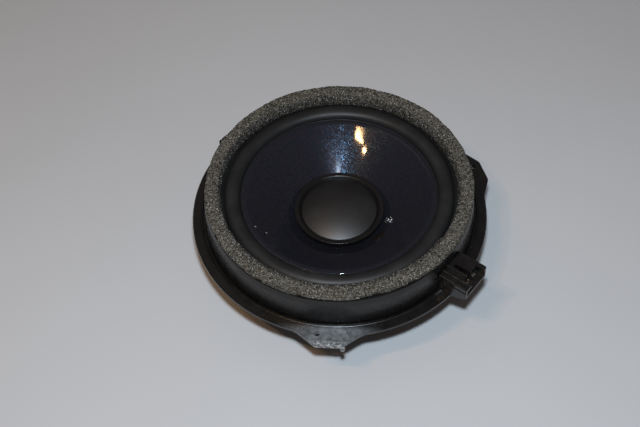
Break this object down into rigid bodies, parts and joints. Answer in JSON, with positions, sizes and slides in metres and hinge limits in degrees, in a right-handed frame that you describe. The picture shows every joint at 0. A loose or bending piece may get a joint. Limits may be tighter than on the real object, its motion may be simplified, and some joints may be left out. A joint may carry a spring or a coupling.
{
  "type": "car door loudspeaker",
  "caption": "Round car door loudspeaker: moulded flange with lugs, foam sealing ring, rubber surround, glossy cone, capped centre, socket and magnet motor.",
  "frame": {"origin": "centre of the flat back plate behind the magnet", "axes": "+Z out of the cone towards the listener, -Y through the first mounting lug, so the connector socket points towards +X and -Y"},
  "size_m": [0.186, 0.1932, 0.0646],
  "materials": {
    "basket": "moulded, glass-filled, satin with a fine grain",
    "foam": "open-cell polyurethane foam, mid grey",
    "adhesive": "cured black adhesive",
    "rubber": "soft matte butyl rubber",
    "cone": "glossy moulded polypropylene with a fine fleck",
    "cap_ring": "smooth moulded plastic",
    "dust_cap": "fine matte texture",
    "cloth": "resin-dipped cotton, corrugated",
    "former": "thin film former",
    "copper": "enamelled copper wire",
    "plated_steel": "zinc plated",
    "ferrite": "sintered strontium ferrite, ground faces",
    "screw": "zinc plated",
    "connector": "moulded nylon, black",
    "terminal": "tin plated brass",
    "solder": "tin-lead free solder",
    "braid": "woven copper tinsel over a cotton core"
  },
  "bodies": {
    "basket": {"basket": "basket", "back_plate": "plated_steel", "pole_piece": "plated_steel", "magnet": "ferrite", "magnet_adhesive_rear": "adhesive", "magnet_adhesive_front": "adhesive", "top_plate": "plated_steel", "motor_screws": "screw", "spider": "cloth", "surround": "rubber", "foam_bed": "adhesive", "foam_gasket": "foam", "connector_housing": "connector", "terminal_positive": "terminal", "terminal_negative": "terminal", "terminal_solder": "solder", "tinsel_lead_positive": "braid", "tinsel_lead_negative": "braid"},
    "diaphragm": {"cone": "cone", "cap_ring": "cap_ring", "dust_cap": "dust_cap", "voice_coil_former": "former", "voice_coil": "copper", "coil_lead_strips": "copper", "neck_adhesive": "adhesive", "lead_adhesive_dabs": "adhesive"}
  },
  "joints": [
    {"name": "cone_travel", "type": "slide", "parent": "basket", "child": "diaphragm", "axis": [0, 0, 1], "range_m": [-0.004, 0.004], "stiffness_N_per_m": 2000, "deforming": ["surround", "spider", "tinsel_lead_positive", "tinsel_lead_negative"]}
  ]
}
